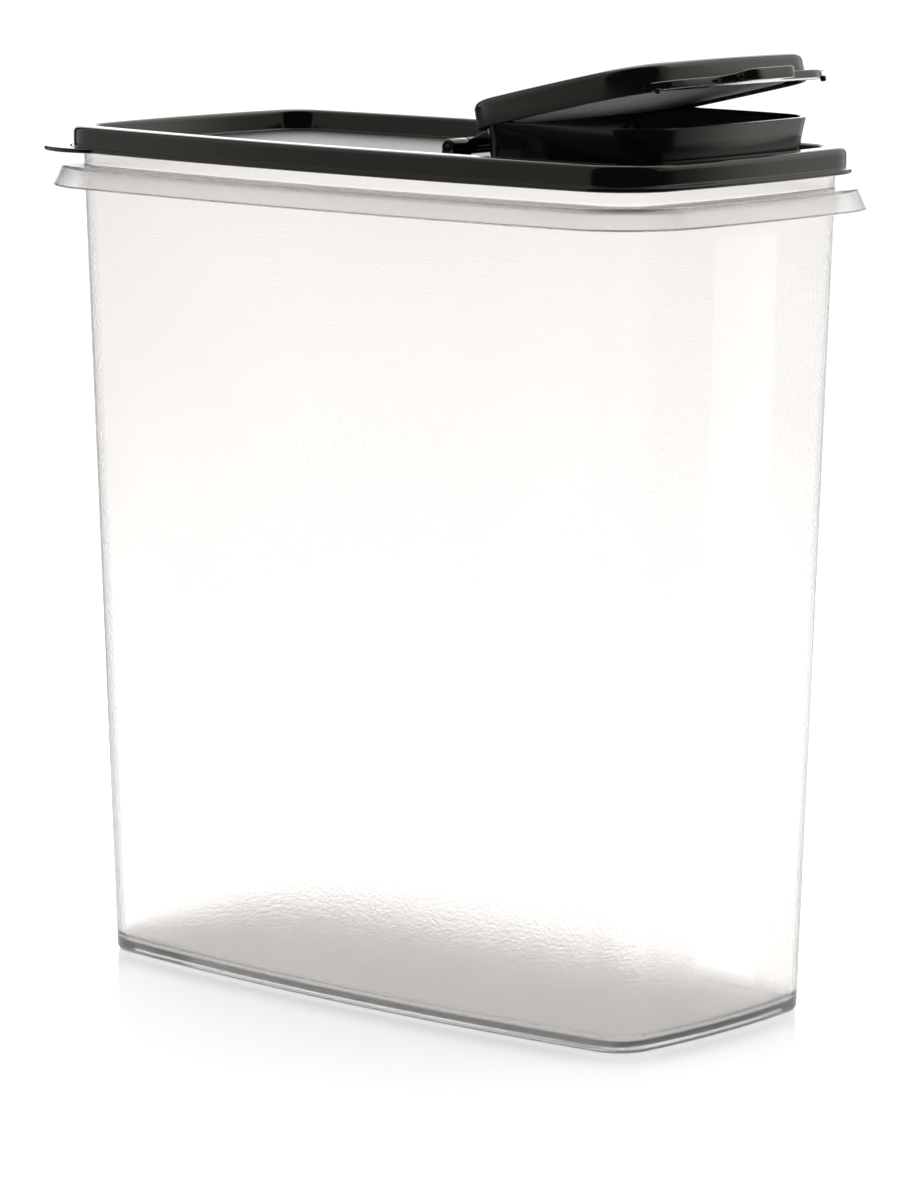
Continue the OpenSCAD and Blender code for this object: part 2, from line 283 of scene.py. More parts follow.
def dense(outline, pitch):
    """A closed plan with points added so that none are more than pitch apart."""
    points = []
    for p, q in zip(outline, np.roll(outline, -1, 0)):
        n = max(1, int(math.ceil(np.linalg.norm(q - p) / pitch)))
        points += [p + (q - p) * i / n for i in range(n)]
    return np.array(points)


# Node helpers
class Nodes:
    """Adds nodes to a tree and joins them, so that a material reads as a short list of steps."""

    def __init__(self, tree):
        self.tree = tree

    def add(self, kind, inputs=None, **settings):
        node = self.tree.nodes.new(kind)
        for key, value in settings.items():
            setattr(node, key, value)
        for key, value in (inputs or {}).items():
            socket = node.inputs[key]
            if isinstance(value, bpy.types.NodeSocket):
                self.tree.links.new(value, socket)
            else:
                socket.default_value = value
        return node

    def math(self, operation, a, b=None, c=None, clamp=False):
        """One sum on numbers or sockets."""
        inputs = {0: a}
        if b is not None:
            inputs[1] = b
        if c is not None:
            inputs[2] = c
        return self.add("ShaderNodeMath", inputs, operation=operation, use_clamp=clamp).outputs[0]

    def vector(self, operation, inputs, output="Vector"):
        """One sum on vectors."""
        return self.add("ShaderNodeVectorMath", inputs, operation=operation).outputs[output]

    def noise(self, vector, scale, detail, roughness):
        inputs = {"Vector": vector, "Scale": scale, "Detail": detail, "Roughness": roughness}
        return self.add("ShaderNodeTexNoise", inputs).outputs["Fac"]

    def between(self, value, low, high, to_low, to_high):
        """The value taken from the range low to high into the range to_low to to_high."""
        inputs = {"Value": value, "From Min": low, "From Max": high}
        inputs |= {"To Min": to_low, "To Max": to_high}
        return self.add("ShaderNodeMapRange", inputs).outputs["Result"]

    def stepped(self, value, low, high, top=1.0):
        """0 below low, top above high, and a smooth rise between."""
        inputs = {"Value": value, "From Min": low, "From Max": high, "To Min": 0.0, "To Max": top}
        node = self.add("ShaderNodeMapRange", inputs, interpolation_type="SMOOTHSTEP")
        return node.outputs["Result"]

    def mixed(self, factor, first, second):
        """A number between first and second."""
        node = self.add("ShaderNodeMix", {0: factor, 2: first, 3: second}, data_type="FLOAT")
        return node.outputs[0]

    def colours(self, factor, first, second):
        """A colour between first and second."""
        node = self.add("ShaderNodeMix", {0: factor}, data_type="RGBA")
        node.inputs[6].default_value = (*first, 1)
        node.inputs[7].default_value = (*second, 1)
        return node.outputs[2]

    def bump(self, height, strength, distance, normal=None):
        inputs = {"Height": height, "Strength": strength, "Distance": distance}
        if normal is not None:
            inputs["Normal"] = normal
        return self.add("ShaderNodeBump", inputs).outputs[0]


def new_material(name):
    """A material, its nodes, its shader and the socket that gives places on the object, in metres."""
    material = bpy.data.materials.new(name)
    material.use_nodes = True
    nodes = Nodes(material.node_tree)
    shader = material.node_tree.nodes["Principled BSDF"]
    place = nodes.add("ShaderNodeTexCoord").outputs["Object"]
    return material, nodes, shader, place


def link(nodes, value, shader, name):
    nodes.tree.links.new(value, shader.inputs[name])


# Finishes
BLACKEST, BLACKISH = (0.0016, 0.0016, 0.0012), (0.0028, 0.0028, 0.0022)
WARM_GLOSS = (1.0, 0.985, 0.87, 1)
CLEAREST, CLEARISH = (0.996, 0.982, 0.971), (0.992, 0.978, 0.966)
PEBBLED_ROUGH, WINDOW_ROUGH, RIM_ROUGHER, MILKY_CLEAR = 0.22, 0.12, 0.10, 0.975
# The smooth window on the pour end, in metres: its half width, and where the pebbles stop on the
# long sides, above the foot and under the rim
WINDOW_HALF, WINDOW_X, PEBBLES_LOW, PEBBLES_HIGH = 0.0135, 0.095, 0.005, 0.238


def black_plastic(name, gloss, satin_rough):
    """Moulded black polypropylene: a glossy skin with slow flow marks, satin where it is textured."""
    material, nodes, shader, place = new_material(name)
    shader.inputs["IOR"].default_value = 1.5
    shader.inputs["Specular Tint"].default_value = WARM_GLOSS
    flow_marks = nodes.noise(place, 28.0, 3.0, 0.55)
    grain = nodes.noise(place, 2300.0, 2.0, 0.6)
    satin = nodes.add("ShaderNodeAttribute", attribute_name="satin").outputs["Fac"]
    link(nodes, nodes.colours(flow_marks, BLACKEST, BLACKISH), shader, "Base Color")
    skin = nodes.between(flow_marks, 0.3, 0.7, gloss, gloss + 0.03)
    textured = nodes.between(grain, 0.3, 0.7, satin_rough - 0.03, satin_rough + 0.03)
    link(nodes, nodes.mixed(satin, skin, textured), shader, "Roughness")
    grain_depth = nodes.math("MULTIPLY_ADD", satin, 0.04, 0.02)
    fine = nodes.bump(grain, grain_depth, 0.00005)
    sink_marks = nodes.noise(place, 11.0, 1.0, 0.4)
    link(nodes, nodes.bump(sink_marks, 0.3, 0.0003, fine), shader, "Normal")
    return material


def milky_plastic(name):
    """Milky-clear polypropylene: pebbled outside, with one smooth window up the pour end."""
    material, nodes, shader, place = new_material(name)
    shader.inputs["IOR"].default_value = 1.49
    shader.inputs["Transmission Weight"].default_value = MILKY_CLEAR
    x, y, z = nodes.add("ShaderNodeSeparateXYZ", {0: place}).outputs
    # 0 inside the window and 1 on the pebbled walls, with an edge about a millimetre soft
    beside = nodes.between(nodes.math("ABSOLUTE", y), WINDOW_HALF, WINDOW_HALF + 0.001, 0.0, 1.0)
    behind = nodes.between(x, WINDOW_X, WINDOW_X + 0.005, 1.0, 0.0)
    above_foot = nodes.between(z, PEBBLES_LOW, PEBBLES_LOW + 0.004, 0.0, 1.0)
    under_rim = nodes.between(z, PEBBLES_HIGH, PEBBLES_HIGH + 0.003, 1.0, 0.0)
    walls = nodes.math("MULTIPLY", above_foot, under_rim)
    pebbled = nodes.math("MULTIPLY", nodes.math("MAXIMUM", beside, behind), walls)
    cells = {"Vector": place, "Scale": 950.0, "Randomness": 0.95}
    pebbles = nodes.add("ShaderNodeTexVoronoi", cells, feature="F1").outputs["Distance"]
    cloud = nodes.noise(place, 14.0, 2.0, 0.5)
    link(nodes, nodes.colours(cloud, CLEAREST, CLEARISH), shader, "Base Color")
    smooth = nodes.between(cloud, 0.3, 0.7, WINDOW_ROUGH - 0.02, WINDOW_ROUGH + 0.02)
    # The rim and the foot are a little duller than the window
    dull = nodes.math("MULTIPLY_ADD", nodes.math("SUBTRACT", 1.0, walls), RIM_ROUGHER, smooth)
    rough = nodes.math("MULTIPLY_ADD", pebbled, PEBBLED_ROUGH - WINDOW_ROUGH, dull)
    link(nodes, rough, shader, "Roughness")
    link(nodes, nodes.bump(nodes.math("MULTIPLY", pebbles, pebbled), 0.35, 0.00012), shader, "Normal")
    return material


MILKY = milky_plastic("milky_clear_polypropylene")
LID_BLACK = black_plastic("black_lid_plastic", 0.10, 0.34)
CAP_BLACK = black_plastic("black_cap_plastic", 0.09, 0.55)
PIN_BLACK = black_plastic("black_pin_plastic", 0.18, 0.3)


# Container: Geometry Nodes place every point of its section by the outline's rule
def wall_tree():
    """The node tree that bends a plain tube of points into the bowed, tapering container."""
    tree = bpy.data.node_groups.new("bowed_container_wall", "GeometryNodeTree")
    face = tree.interface
    face.new_socket("Geometry", in_out="INPUT", socket_type="NodeSocketGeometry")
    sizes = {
        "Base Length": BASE_LENGTH, "Base Depth": BASE_DEPTH, "Neck Length": NECK_LENGTH,
        "Neck Depth": NECK_DEPTH, "Base Corner": BASE_CORNER, "Neck Corner": NECK_CORNER,
        "Long Bow": LONG_BOW, "Short Bow": SHORT_BOW, "Neck Height": LEDGE_Z,
    }
    for name, value in sizes.items():
        socket = face.new_socket(name, in_out="INPUT", socket_type="NodeSocketFloat")
        socket.default_value = value
    face.new_socket("Finish", in_out="INPUT", socket_type="NodeSocketMaterial")
    face.new_socket("Geometry", in_out="OUTPUT", socket_type="NodeSocketGeometry")
    nodes = Nodes(tree)
    size = nodes.add("NodeGroupInput").outputs

    def stored(name):
        return nodes.add("GeometryNodeInputNamedAttribute", {0: name}, data_type="FLOAT").outputs[0]

    off, level, extra = stored("off"), stored("level"), stored("extra_radius")
    part = nodes.math("MINIMUM", nodes.math("DIVIDE", level, size["Neck Height"]), 1.0)

    def at_level(name):
        base, neck = size["Base " + name], size["Neck " + name]
        return nodes.math("MULTIPLY_ADD", nodes.math("SUBTRACT", neck, base), part, base)

    half_x = nodes.math("MULTIPLY_ADD", at_level("Length"), 0.5, off)
    half_y = nodes.math("MULTIPLY_ADD", at_level("Depth"), 0.5, off)
    radius = nodes.math("ADD", at_level("Corner"), nodes.math("ADD", off, extra))
    radius = nodes.math("MAXIMUM", radius, SMALLEST_LID_CORNER)
    end_x = nodes.math("SUBTRACT", half_x, size["Short Bow"])
    end_y = nodes.math("SUBTRACT", half_y, size["Long Bow"])

    def flat(reach, turn, end):
        middle = nodes.math("MULTIPLY", reach, nodes.math("SUBTRACT", end, radius))
        return nodes.math("MULTIPLY_ADD", radius, turn, middle)

    def bulged(along, across, bow, end):
        share = nodes.math("DIVIDE", across, end)
        room = nodes.math("SUBTRACT", 1.0, nodes.math("MULTIPLY", share, share))
        push = nodes.math("MULTIPLY", nodes.math("MULTIPLY", bow, room), nodes.math("SIGN", along))
        return nodes.math("MULTIPLY", nodes.math("ADD", along, push), MM)

    x = flat(stored("reach_x"), stored("turn_x"), end_x)
    y = flat(stored("reach_y"), stored("turn_y"), end_y)
    spot = nodes.add("ShaderNodeCombineXYZ", {0: bulged(x, y, size["Short Bow"], end_y),
                                              1: bulged(y, x, size["Long Bow"], end_x),
                                              2: nodes.math("MULTIPLY", level, MM)}).outputs[0]
    moved = nodes.add("GeometryNodeSetPosition", {"Geometry": size["Geometry"], "Position": spot})
    smooth = nodes.add("GeometryNodeSetShadeSmooth", {"Geometry": moved.outputs[0]})
    real = nodes.add("GeometryNodeRealizeInstances", {"Geometry": smooth.outputs[0]})
    finish = {"Geometry": real.outputs[0], "Material": size["Finish"]}
    done = nodes.add("GeometryNodeSetMaterial", finish)
    nodes.add("NodeGroupOutput", {0: done.outputs[0]})
    return tree


def container_section():
    """The wall's section, from under the foot, up the outside and down the inside: (off, z, extra
    corner radius) rows."""
    skirt_z, under = LEDGE_Z - SKIRT_HEIGHT, LEDGE_Z - RIM_T
    skirt_off = LEDGE_WIDTH + SKIRT_FLARE
    bead_low = CONTAINER_HEIGHT - 3.4
    middle = levels(20, 240, 9)
    foot = [(-16, 0.6, 0, 0), (-9, 0.6, 0.4, 0), (-8.2, 0, 0.4, 0), (0, 0, 1.5, 0), (0, 20, 0, 0)]
    outside = [(0, z, 0, 0) for z in middle]
    rim = [
        (0, under, 0.7, 0),
        (LEDGE_WIDTH - RIM_T, under, 0.5, SKIRT_EXTRA_R),
        (skirt_off - RIM_T, skirt_z, 0.35, SKIRT_EXTRA_R),
        (skirt_off, skirt_z, 0.45, SKIRT_EXTRA_R),
        (LEDGE_WIDTH, LEDGE_Z, 0.7, SKIRT_EXTRA_R),
        (0, LEDGE_Z, 0.5, 0),
    ]
    neck = [
        (0, bead_low, 0.4, 0),
        (SNAP_BEAD, bead_low + SNAP_BEAD, 0.5, 0),
        (SNAP_BEAD, CONTAINER_HEIGHT - 1, 0.6, 0),
        (0.4, CONTAINER_HEIGHT, 0.5, 0),
        (-WALL, CONTAINER_HEIGHT, 0.7, 0),
        (-WALL, LEDGE_Z, 0, 0),
    ]
    inside = [(-WALL, z, 0, 0) for z in reversed(middle)]
    bottom = [(-WALL, 20, 0, 0), (-WALL, FLOOR, 3.2, 0), (-WALL - 8, FLOOR, 0, 0)]
    return rounded(foot + outside + rim + neck + inside + bottom)


def make_container():
    rows = container_section()
    # A plain tube with one ring of points for each row. The node tree puts every point in its place.
    angles = np.linspace(0, 2 * math.pi, COUNT, False)
    circle = np.stack([np.cos(angles), np.sin(angles)], 1)
    shell = Shell()
    shell.skin([ring(circle * (130 - i * 0.5), row[1]) for i, row in enumerate(rows)])
    tube = shell.build("tube_of_points")
    values = {
        "off": np.repeat([row[0] for row in rows], COUNT),
        "level": np.repeat([row[1] for row in rows], COUNT),
        "extra_radius": np.repeat([row[2] for row in rows], COUNT),
        "reach_x": np.tile(REACH[:, 0], len(rows)),
        "reach_y": np.tile(REACH[:, 1], len(rows)),
        "turn_x": np.tile(TURN[:, 0], len(rows)),
        "turn_y": np.tile(TURN[:, 1], len(rows)),
    }
    for name, numbers in values.items():
        stored = tube.data.attributes.new(name, "FLOAT", "POINT")
        stored.data.foreach_set("value", numbers)
    tree = wall_tree()
    bend = tube.modifiers.new("bowed_wall", "NODES")
    bend.node_group = tree
    for item in tree.interface.items_tree:
        if item.item_type == "SOCKET" and item.in_out == "INPUT" and item.name == "Finish":
            bend[item.identifier] = MILKY
    graph = bpy.context.evaluated_depsgraph_get()
    bent = tube.evaluated_get(graph)
    mesh = bpy.data.meshes.new_from_object(bent, preserve_all_data_layers=True, depsgraph=graph)
    tube.modifiers.clear()
    bpy.data.objects.remove(tube)
    for name in values:
        mesh.attributes.remove(mesh.attributes[name])
    mesh.name = "frosted_container"
    obj = bpy.data.objects.new("frosted_container", mesh)
    bpy.context.scene.collection.objects.link(obj)
    if volume(mesh) < 0:
        mesh.flip_normals()
    return obj


def volume(mesh):
    """Six times a mesh's volume, which is negative where its faces point inwards."""
    spots = np.empty(len(mesh.vertices) * 3)
    mesh.vertices.foreach_get("co", spots)
    mesh.calc_loop_triangles()
    corners = np.empty(len(mesh.loop_triangles) * 3, int)
    mesh.loop_triangles.foreach_get("vertices", corners)
    a, b, c = spots.reshape(-1, 3)[corners.reshape(-1, 3)].transpose(1, 0, 2)
    return float(np.sum(a * np.cross(b, c)))


# Lid: one moulding of bead, panel, spout, flange, lift tab and knuckles
def make_lid():
    shell = Shell()
    under, roof = PANEL_Z - LID_WALL, BEAD_Z - LID_WALL
    edge, throat = LID_OUT + LID_FLANGE, -SPOUT_FLARE - SPOUT_WALL
    flange_top = LID_FOOT_Z + FLANGE_T
    outside = rounded([
        (CHANNEL_OUT, LID_FOOT_Z + 2, 0),
        (CHANNEL_OUT, LID_FOOT_Z, 0.3),
        (edge, LID_FOOT_Z, 0.5),
        (edge, flange_top, 0.5),
        (LID_OUT, flange_top, 0.5),
        (LID_OUT, BEAD_Z, BEAD_R),
        (PLUG_IN, BEAD_Z, BEAD_R),
        (PLUG_IN - WALL_DRAFT, PANEL_Z, 0.6),
        (PLUG_IN - 3.5, PANEL_Z, 0),
    ], 6)
    spout = rounded([
        (-SPOUT_FLARE + 1.6, PANEL_Z, 0),
        (-SPOUT_FLARE, PANEL_Z, 0.5),
        (-SPOUT_FLARE, WAIST_Z, WAIST_R),
        (0, SPOUT_RIM_Z, 0.4),
        (-SPOUT_WALL, SPOUT_RIM_Z, 0.4),
        (throat, WAIST_Z, 0.6),
        (throat, under, 0.5),
        (throat + 2, under, 0),
    ], 5)
    inside = rounded([
        (CHANNEL_IN - 2.5, under, 0),
        (CHANNEL_IN, under, 0.4),
        (CHANNEL_IN, roof, 0.5),
        (CHANNEL_OUT, roof, 0.5),
        (CHANNEL_OUT, LID_FOOT_Z + 2, 0),
    ], 3)
    rings = [ring(lid_outline(row[0]), row[1]) for row in outside]
    rings += [ring(spout_outline(row[0]), row[1]) for row in spout]
    rings += [ring(lid_outline(row[0]), row[1]) for row in inside[:-1]]
    on_panel = [float(row[1] < PANEL_Z + 0.1 and row[0] < PLUG_IN) for row in outside]
    on_panel += [float(abs(row[1] - PANEL_Z) < 0.1) for row in spout]
    shell.skin(rings, closed=True, satin=on_panel + [0.0] * (len(inside) - 1))

    # Lift tab: the part of a round plate outside the lid's wall, held a little inside it
    angles = np.radians(np.linspace(0, 360, 180, False))
    circle = np.stack([np.cos(angles), np.sin(angles)], 1)
    disc = np.array([LIFT_TAB_X, LIFT_TAB_Y]) + LIFT_TAB_R * circle
    plate = clipped(disc, lid_outline(LID_OUT - 0.5))
    slab(shell, plate, LID_FOOT_Z, flange_top, 0.45, lambda rows: rows)

    for side in (-1, 1):
        low = side * (ARM_WIDTH / 2 + KNUCKLE_GAP)
        knuckle(shell, min(low, low + side * KNUCKLE_W), max(low, low + side * KNUCKLE_W))
    obj = shell.build("black_lid")
    obj.data.materials.append(LID_BLACK)
    return obj


def clipped(disc, wall):
    """The rim points of a round plate that lie outside a wall, closed along the wall's own line."""

    def beyond(p):
        x, y = wall[:, 0], wall[:, 1]
        xs, ys = np.roll(x, -1), np.roll(y, -1)
        cross = ((y > p[1]) != (ys > p[1])) & (p[0] < (xs - x) * (p[1] - y) / (ys - y + 1e-12) + x)
        return np.count_nonzero(cross) % 2 == 0

    flags = [beyond(p) for p in disc]
    start = next(i for i in range(len(disc)) if flags[i] and not flags[i - 1])
    arc = []
    while flags[(start + len(arc)) % len(disc)]:
        arc.append(disc[(start + len(arc)) % len(disc)])
    first = int(np.argmin(np.linalg.norm(wall - arc[0], axis=1)))
    last = int(np.argmin(np.linalg.norm(wall - arc[-1], axis=1)))
    forward = [wall[(last + k) % COUNT] for k in range((first - last) % COUNT)]
    backward = [wall[(last - k) % COUNT] for k in range((last - first) % COUNT)]
    line = forward if len(forward) < len(backward) else backward
    return np.array(arc[1:-1] + line)


def knuckle(shell, low, high):
    """A barrel on a foot, bored for the pin, with its ends eased."""
    angles = np.radians(np.linspace(0, 360, 96, False))
    foot = HINGE_Z - PANEL_Z + 0.5

    def around(grow, bore=None):
        points = []
        for t in angles:
            c, s = math.cos(t), math.sin(t)
            if bore is not None:
                points.append((bore * c, bore * s))
                continue
            r = BARREL_R + grow
            if s < 0:
                wide = BARREL_R + grow + 0.5 * max(0.0, -s - 0.4)
                r = min(wide / max(abs(c), 1e-6), foot / max(-s, 1e-6))
            points.append((r * c, r * s))
        return np.array(points)

    section = [(around(0, PIN_R), low + 0.5), (around(0, PIN_R + 0.35), low)]
    section += [(around(-0.5), low), (around(-0.15), low + 0.15), (around(0), low + 0.5)]
    section += [(around(0), high - 0.5), (around(-0.15), high - 0.15), (around(-0.5), high)]
    section += [(around(0, PIN_R + 0.35), high), (around(0, PIN_R), high - 0.5)]
    shell.skin([np.stack([HINGE_X + plan[:, 0], np.full(len(plan), y), HINGE_Z + plan[:, 1]], 1)
                for plan, y in section], closed=True)


def round_the_hinge(rows, count):
    """Rings about the hinge's axis, one for each (radius, y) row."""
    angles = np.radians(np.linspace(0, 360, count, False))
    rings = []
    for r, y in rows:
        x, z = HINGE_X + r * np.cos(angles), HINGE_Z + r * np.sin(angles)
        rings.append(np.stack([x, np.full(count, y), z], 1))
    return rings


# Hinge pin: a rod with eased ends
def make_pin():
    shell = Shell()
    half = (ARM_WIDTH + 2 * KNUCKLE_GAP + 2 * KNUCKLE_W) / 2
    rows = [(0.5, -half), (PIN_R - 0.3, -half), (PIN_R - 0.08, -half + 0.1), (PIN_R, -half + 0.35)]
    rows += [(PIN_R, y) for y in np.linspace(-half + 2, half - 2, 9)]
    rows += [(r, -y) for r, y in reversed(rows[:4])]
    shell.skin(round_the_hinge(rows, 48))
    obj = shell.build("black_hinge_pin")
    obj.data.materials.append(PIN_BLACK)
    return obj


# Flip cap: skirt, bead, dish and plug, with flange, thumb tab and hinge arm
def flange_plan():
    """Plan of the flange: its rim from one end, round the thumb tab, to the other, and back inside."""
    outer = spout_outline(SKIRT_OUT + CAP_FLANGE, SWING_ROOM)
    end_x = SPOUT_X + SPOUT_LENGTH / 2 + SKIRT_OUT + SWING_ROOM
    start_x, half = end_x - FLANGE_BACK, THUMB_WIDTH / 2
    tip = end_x + CAP_FLANGE + THUMB_REACH
    arc = outer[:CORNER_STEPS + SHORT_STEPS // 2 + 1]
    rim = [p for p in arc if p[0] > start_x and p[1] < -half - ROOT_R]
    before = [p for p in arc if p[0] <= start_x][-1]
    rim.insert(0, before + (rim[0] - before) * (start_x - before[0]) / (rim[0][0] - before[0]))
    root_x = float(np.interp(-half - ROOT_R, arc[:, 1], arc[:, 0]))
    quarter = np.radians(np.linspace(0, 90, 8))
    sines, cosines = np.sin(quarter), np.cos(quarter)
    root = np.stack([root_x + ROOT_R - ROOT_R * cosines, -half - ROOT_R + ROOT_R * sines], 1)
    corner = np.stack([tip - TIP_R + TIP_R * sines, -half + TIP_R - TIP_R * cosines], 1)
    near_half = rim + list(root) + list(corner)
    far_half = [np.array([p[0], -p[1]]) for p in reversed(near_half)]
    middle = [np.array([tip, y]) for y in (-5, -2.5, 0, 2.5, 5)]
    pour_end = spout_outline(SKIRT_OUT - 0.5, SWING_ROOM)[:2 * CORNER_STEPS + SHORT_STEPS]
    inside = [p for p in pour_end if p[0] > start_x]
    return np.array(near_half + middle + far_half + inside[::-1])


def cap_flange(shell):
    """The flange, a thumb tab that thickens to a lip, and a stop pip under each end."""
    edge_x = SPOUT_X + SPOUT_LENGTH / 2 + SKIRT_OUT + SWING_ROOM + CAP_FLANGE
    middle = CAP_FOOT_Z + CAP_FLANGE_T / 2

    def thickened(rows):
        along = np.clip((rows[:, 0] - edge_x) / THUMB_REACH, 0, 1)
        gain = 1 + LIP_GAIN * along * along * (3 - 2 * along)
        rows[:, 2] = middle + (rows[:, 2] - middle) * gain
        return rows

    plan = dense(flange_plan(), PITCH_ALONG)
    slab(shell, plan, CAP_FOOT_Z, CAP_FOOT_Z + CAP_FLANGE_T, 0.5, thickened)
    turn = np.radians(np.linspace(0, 360, 24, False))
    circle = np.stack([np.cos(turn), np.sin(turn)], 1)
    pip = [(0.3, -1.1), (0.7, -1.0), (0.9, -0.7), (0.9, 0.5), (0.4, 0.6)]
    for side in (-1, 1):
        middle_of_pip = np.array([edge_x - CAP_FLANGE - FLANGE_BACK + PIP_IN, side * PIP_Y])
        shell.skin([ring(middle_of_pip + r * circle, CAP_FOOT_Z + z) for r, z in pip])


def leaving(slope):
    """Angle on the barrel at which an edge of the arm with this slope leaves it, in degrees."""
    a, b, c = 1 + slope * slope, slope * ARM_ROOT, ARM_ROOT * ARM_ROOT / 4 - BARREL_R * BARREL_R
    x = (-b + math.sqrt(b * b - 4 * a * c)) / (2 * a)
    return math.degrees(math.atan2(ARM_ROOT / 2 + slope * x, x))


def cap_arm(shell):
    """Two cheeks under a sloping web, each with a foot along it, and the barrel round the pin."""
    end, root = HINGE_SETBACK - SKIRT_OUT + 0.5, ARM_ROOT / 2
    rise, drop = ARM_RISE / end, ARM_DROP / end
    turn = np.radians(np.linspace(leaving(rise), 360 - leaving(drop), 22))
    round_end = [(BARREL_R * math.cos(t), BARREL_R * math.sin(t)) for t in turn]
    cheek = dense(np.array(round_end + [(end, -root - ARM_DROP), (end, root + ARM_RISE)]), PITCH_ALONG)

    def edge(x, slope):
        return root + slope * x

    def beside(rows):
        return np.stack([HINGE_X + rows[:, 0], rows[:, 2], HINGE_Z + rows[:, 1]], 1)

    half = ARM_WIDTH / 2
    slab(shell, cheek, -half, -half + ARM_T, 0.3, beside)
    slab(shell, cheek, half - ARM_T, half, 0.3, beside)
    start = BARREL_R + 0.9
    low_start, low_end = -edge(start, drop), -edge(end, drop)
    foot = [(start, low_start), (end, low_end), (end, low_end + 1.3), (start, low_start + 1.0)]
    foot = dense(np.array(foot), PITCH_ALONG)
    slab(shell, foot, -half - 0.3, -half + 0.5, 0.2, beside)
    slab(shell, foot, half - 0.5, half + 0.3, 0.2, beside)
    start = 0.8
    top_start, top_end = edge(start, rise), edge(end, rise)
    web = [(start, top_start - ARM_T), (end, top_end - ARM_T), (end, top_end), (start, top_start)]
    slab(shell, dense(np.array(web), PITCH_ALONG), -half + 0.4, half - 0.4, 0.2, beside)
    bore = PIN_R + PIN_CLEARANCE
    rows = [(bore, -half + 0.3), (bore + 0.25, -half), (BARREL_R - 0.35, -half)]
    rows += [(BARREL_R - 0.1, -half + 0.1), (BARREL_R, -half + 0.4)]
    rows += [(r, -y) for r, y in reversed(rows)]
    shell.skin(round_the_hinge(rows, 72), closed=True)


def make_cap():
    shell = Shell()
    dish, top = CAP_PLUG_OUT - CAP_WALL, CAP_PLUG_Z + CAP_WALL
    # How much longer the skirt is at the pour end, and the plug shorter at the hinge end
    skirt, plug = (SWING_ROOM, 0), (0, -PLUG_SWING_ROOM)
    rows = rounded([
        (dish - 6, top, 0, *plug),
        (dish, top, 0.9, *plug),
        (dish, CAP_TOP_Z, 1.6, *plug),
        (SKIRT_OUT, CAP_TOP_Z, 2.2, *skirt),
        (SKIRT_OUT, CAP_FOOT_Z, 0.4, *skirt),
        (CAP_CLEARANCE, CAP_FOOT_Z, 0.4, *skirt),
        (CAP_CLEARANCE, CAP_ROOF_Z, 0.4, *skirt),
        (CAP_PLUG_OUT, CAP_ROOF_Z, 0.4, *plug),
        (CAP_PLUG_OUT, CAP_PLUG_Z, 1.2, *plug),
        (CAP_PLUG_OUT - 6, CAP_PLUG_Z, 0, *plug),
    ], 6)
    under = [float(row[1] < CAP_PLUG_Z + 0.3) for row in rows]
    shell.skin([ring(spout_outline(row[0], row[2], row[3]), row[1]) for row in rows], satin=under)
    cap_flange(shell)
    cap_arm(shell)
    hinge = Vector((HINGE_X, 0, HINGE_Z))
    opened = Matrix.Rotation(math.radians(-CAP_OPEN), 4, "Y")
    shell.turned(Matrix.Translation(hinge) @ opened @ Matrix.Translation(-hinge))
    obj = shell.build("black_flip_cap")
    obj.data.materials.append(CAP_BLACK)
    return obj


container = make_container()
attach(container, "container")
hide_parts("container_body")
lid = make_lid()
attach(lid, "lid")
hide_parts("lid")
pin = make_pin()
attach(pin, "lid")
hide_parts("hinge_pin")
cap = make_cap()
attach(cap, "cap")
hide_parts("flip_cap")


# Camera, at the photograph's angle: angles in degrees, lengths in millimetres
AZIMUTH, PITCH, ROLL = math.radians(41.7894), math.radians(9.2222), math.radians(0.1557)
AIM_Z, DISTANCE, SIDE_STEP = 119.075, 1690.689, 1.048
FOCAL_PIXELS, PHOTO_HEIGHT, SENSOR = 5469.261, 1200, 36
right = Vector((math.cos(AZIMUTH), math.sin(AZIMUTH), 0))
flat_back = Vector((math.sin(AZIMUTH), -math.cos(AZIMUTH), 0))
back = flat_back * math.cos(PITCH) + Vector((0, 0, math.sin(PITCH)))
up = back.cross(right)
turned_right = right * math.cos(ROLL) + up * math.sin(ROLL)
turned_up = up * math.cos(ROLL) - right * math.sin(ROLL)
camera = bpy.data.objects.new("studio_camera", bpy.data.cameras.new("studio_camera"))
bpy.context.scene.collection.objects.link(camera)
camera.data.lens = FOCAL_PIXELS * SENSOR / PHOTO_HEIGHT
camera.data.sensor_width = SENSOR
camera.data.sensor_fit = "AUTO"
camera.data.clip_end = 50
view_from = Matrix((turned_right, turned_up, back)).transposed().to_4x4()
view_from.translation = (Vector((0, 0, AIM_Z)) + back * DISTANCE + right * SIDE_STEP) * MM
camera.matrix_world = view_from
bpy.context.scene.camera = camera


# Studio: a pale floor in a room that is bright behind the object and dark behind the camera
AWAY = (-math.sin(AZIMUTH), math.cos(AZIMUTH), 0.0)
ACROSS = (math.cos(AZIMUTH), math.sin(AZIMUTH), 0.0)
DARK_ROOM, GREY_WALL, LEFT_WALL, RIGHT_WALL = 0.03, 0.40, 0.62, 1.45
BACKDROP, WHITE_FLOOR, SOFT_LIGHT, FLOOR_GLOW = 2.0, 1.3, 0.9, 0.25
# Where the grey wall starts on the right, as the room and as the floor show it
RIGHT_EDGE_ROOM, RIGHT_EDGE_FLOOR = -0.52, -0.16
# The black flag on each side, from and to
LEFT_FLAG, RIGHT_FLAG = (0.74, 0.90), (0.79, 0.86)
# The floor, in metres, a little under the container's foot
FLOOR_RADIUS, FLOOR_Z = 9.0, -0.0002


